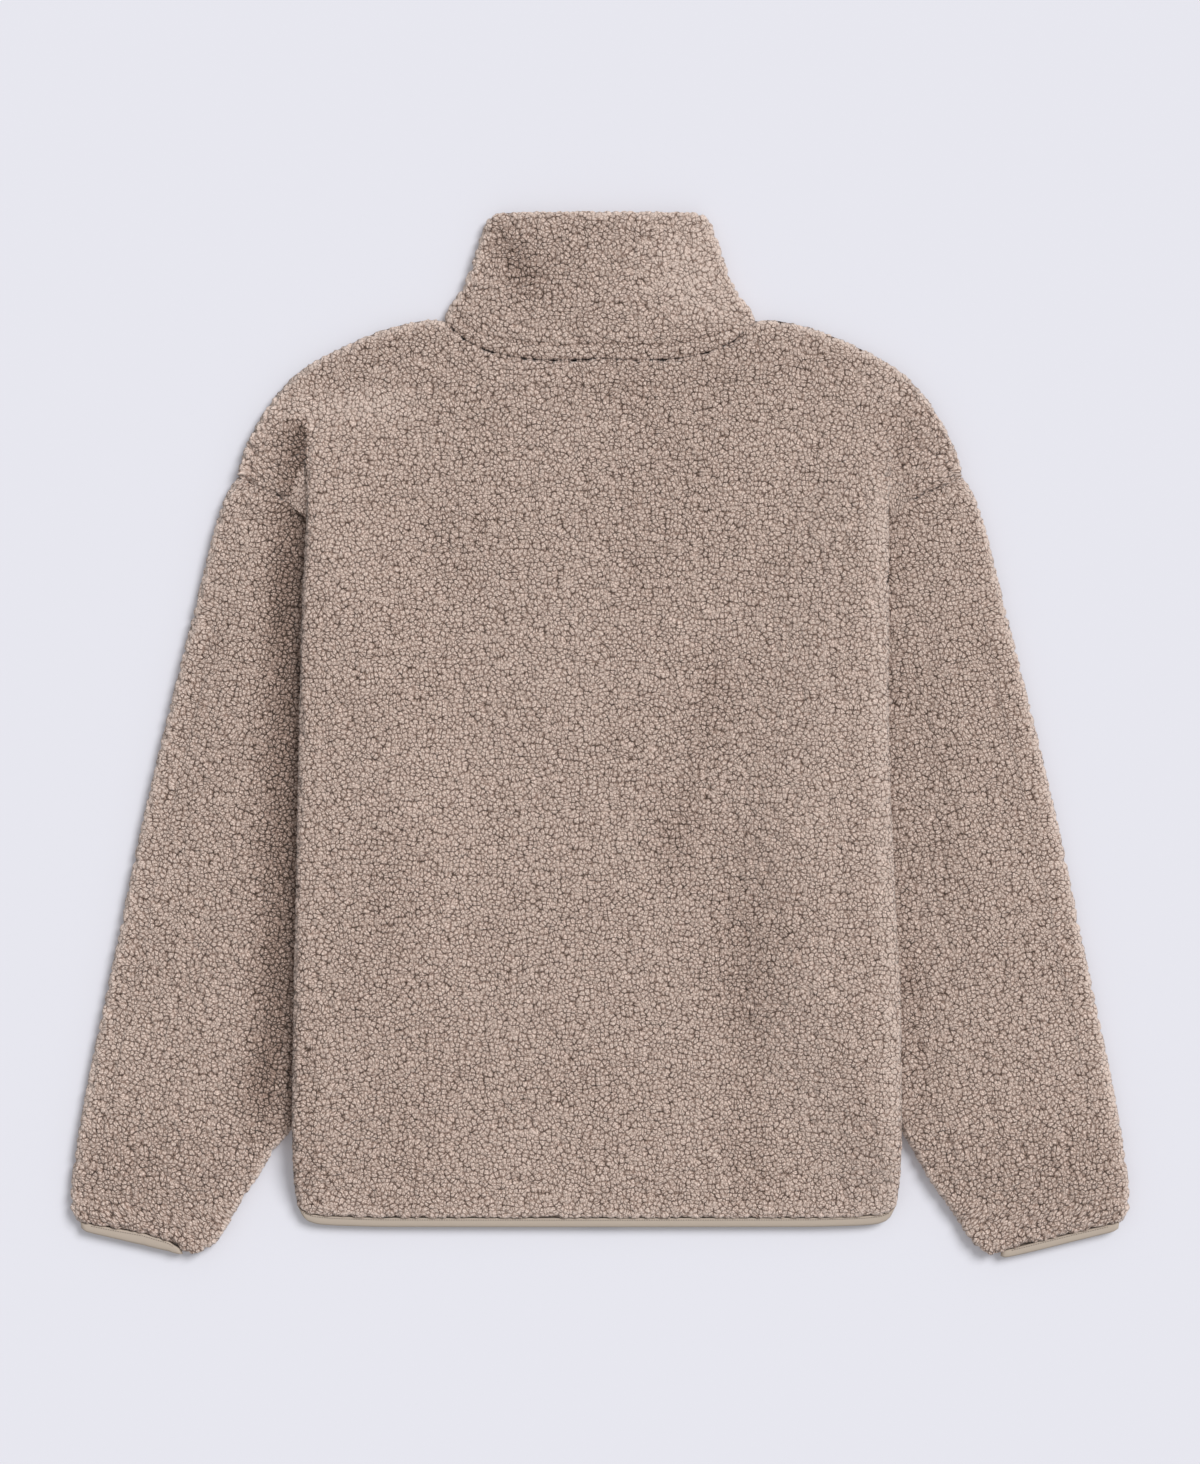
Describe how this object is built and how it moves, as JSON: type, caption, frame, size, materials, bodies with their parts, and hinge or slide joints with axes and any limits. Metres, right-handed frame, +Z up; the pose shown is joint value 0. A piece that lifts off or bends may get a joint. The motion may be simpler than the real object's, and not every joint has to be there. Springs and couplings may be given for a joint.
{
  "type": "fleece jacket",
  "caption": "Hip-length boucle fleece jacket with a tall stand collar, dropped shoulders, bound hem and cuffs and a front zip, laid flat with its back up.",
  "frame": {"origin": "centre of the bounding box, on the surface that the jacket lies on", "axes": "+X across the jacket to the right as the picture shows it, +Y from the hem towards the collar, +Z up from the surface, out of the back"},
  "size_m": [0.8248, 0.8138, 0.0254],
  "materials": {
    "fleece": "curled boucle pile",
    "binding": "smooth stretch tape",
    "zip_tape": "woven zip tape",
    "zip_teeth": "moulded",
    "zip_metal": "satin"
  },
  "bodies": {
    "garment": {"back": "fleece", "front_left": "fleece", "front_right": "fleece", "sleeve_left": "fleece", "sleeve_right": "fleece", "collar": "fleece", "hem_binding": "binding", "cuff_binding_left": "binding", "cuff_binding_right": "binding", "zip_tape_left": "zip_tape", "zip_tape_right": "zip_tape", "zip_chain": "zip_teeth", "zip_slider": "zip_metal"},
    "pull": {"zip_pull": "zip_metal"}
  },
  "joints": [
    {"name": "zip_pull_swing", "type": "hinge", "parent": "garment", "child": "pull", "pos_m": [0, 0.338, 0.00155], "axis": [1, 0, 0], "range_deg": [0, 180]}
  ]
}
